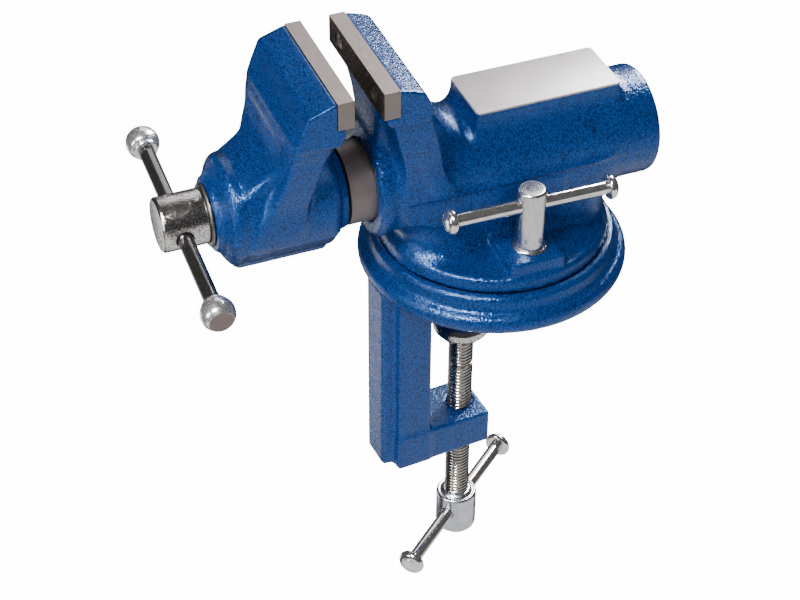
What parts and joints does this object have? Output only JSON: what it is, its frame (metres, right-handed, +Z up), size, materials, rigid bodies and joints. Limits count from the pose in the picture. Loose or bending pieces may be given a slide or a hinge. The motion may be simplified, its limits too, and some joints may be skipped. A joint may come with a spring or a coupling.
{
  "type": "bench vise",
  "caption": "Clamp-on swivel bench vise with flat jaws, a round slide, an anvil, a screw with a sliding handle, a swivel lock and a table clamp.",
  "frame": {"origin": "on the swivel axis, at the underside of the base disc where it sits on the table top", "axes": "+Z up along the swivel axis, -X the way the moving jaw opens, +X towards the rear of the barrel, jaws run along Y"},
  "size_m": [0.241, 0.1316, 0.314],
  "materials": {
    "hammered_blue_paint": "glossy hammered enamel on cast iron",
    "brushed_plate": "ground hardened steel",
    "nickel_steel": "bright nickel plate",
    "plain_steel": "machined, lightly oiled"
  },
  "bodies": {
    "base": {"clamp_frame": "hammered_blue_paint", "pivot_screw": "plain_steel"},
    "swivel_body": {"vise_body": "hammered_blue_paint", "fixed_jaw_plate": "brushed_plate", "fixed_plate_screws": "plain_steel", "main_nut": "plain_steel", "nut_screw": "plain_steel", "lock_washer": "nickel_steel"},
    "sliding_jaw": {"moving_jaw": "hammered_blue_paint", "moving_jaw_plate": "brushed_plate", "moving_plate_screws": "plain_steel"},
    "main_spindle": {"main_screw": "nickel_steel", "thrust_washer": "nickel_steel", "retaining_ring": "plain_steel", "ring_pin": "plain_steel"},
    "main_handle": {"main_handle_bar": "nickel_steel", "main_handle_knob_near": "nickel_steel", "main_handle_knob_far": "nickel_steel"},
    "lock_spindle": {"lock_screw": "nickel_steel"},
    "lock_shoe": {"lock_nut": "plain_steel"},
    "lock_handle": {"lock_handle_bar": "nickel_steel", "lock_handle_end_front": "nickel_steel", "lock_handle_end_rear": "nickel_steel"},
    "pad": {"clamp_pad": "nickel_steel"},
    "clamp_spindle": {"clamp_screw": "nickel_steel", "pad_retainer": "plain_steel"},
    "clamp_handle": {"clamp_handle_bar": "nickel_steel", "clamp_handle_end_front": "nickel_steel", "clamp_handle_end_rear": "nickel_steel"}
  },
  "joints": [
    {"name": "body_swivel", "type": "hinge", "parent": "base", "child": "swivel_body", "pos_m": [0, 0, 0.018], "axis": [0, 0, 1], "continuous": true},
    {"name": "jaw_slide", "type": "slide", "parent": "swivel_body", "child": "sliding_jaw", "axis": [-1, 0, 0], "range_m": [-0.013, 0.047]},
    {"name": "main_screw_spin", "type": "hinge", "parent": "sliding_jaw", "child": "main_spindle", "pos_m": [-0.1564, 0, 0.061], "axis": [-1, 0, 0], "range_deg": [-1175, 4235]},
    {"name": "main_handle_slide", "type": "slide", "parent": "main_spindle", "child": "main_handle", "axis": [0, 0.9912, 0.1323], "range_m": [-0.035, 0.04]},
    {"name": "lock_screw_spin", "type": "hinge", "parent": "swivel_body", "child": "lock_spindle", "pos_m": [0.001, -0.04, 0.056], "axis": [0, 0, 1], "range_deg": [-8, 8]},
    {"name": "lock_nut_lift", "type": "slide", "parent": "swivel_body", "child": "lock_shoe", "axis": [0, 0, -1], "range_m": [-0.0001, 0.001]},
    {"name": "lock_handle_slide", "type": "slide", "parent": "lock_spindle", "child": "lock_handle", "axis": [-0.9998, 0.0209, 0], "range_m": [-0.03, 0.03]},
    {"name": "clamp_travel", "type": "slide", "parent": "base", "child": "pad", "axis": [0, 0, 1], "range_m": [-0.0415, 0.0365]},
    {"name": "clamp_screw_spin", "type": "hinge", "parent": "pad", "child": "clamp_spindle", "pos_m": [-0.01496, -0.0011, -0.169], "axis": [0, 0, 1], "range_deg": [-7064, 6213]},
    {"name": "clamp_handle_slide", "type": "slide", "parent": "clamp_spindle", "child": "clamp_handle", "axis": [0.7672, 0.6414, 0], "range_m": [-0.038, 0.038]}
  ],
  "couplings": [
    {"joint": "main_screw_spin", "follows": "jaw_slide", "rad_per_m": 1570.8},
    {"joint": "lock_nut_lift", "follows": "lock_screw_spin", "m_per_rad": 0.00023873},
    {"joint": "clamp_screw_spin", "follows": "clamp_travel", "rad_per_m": 2968.4}
  ]
}
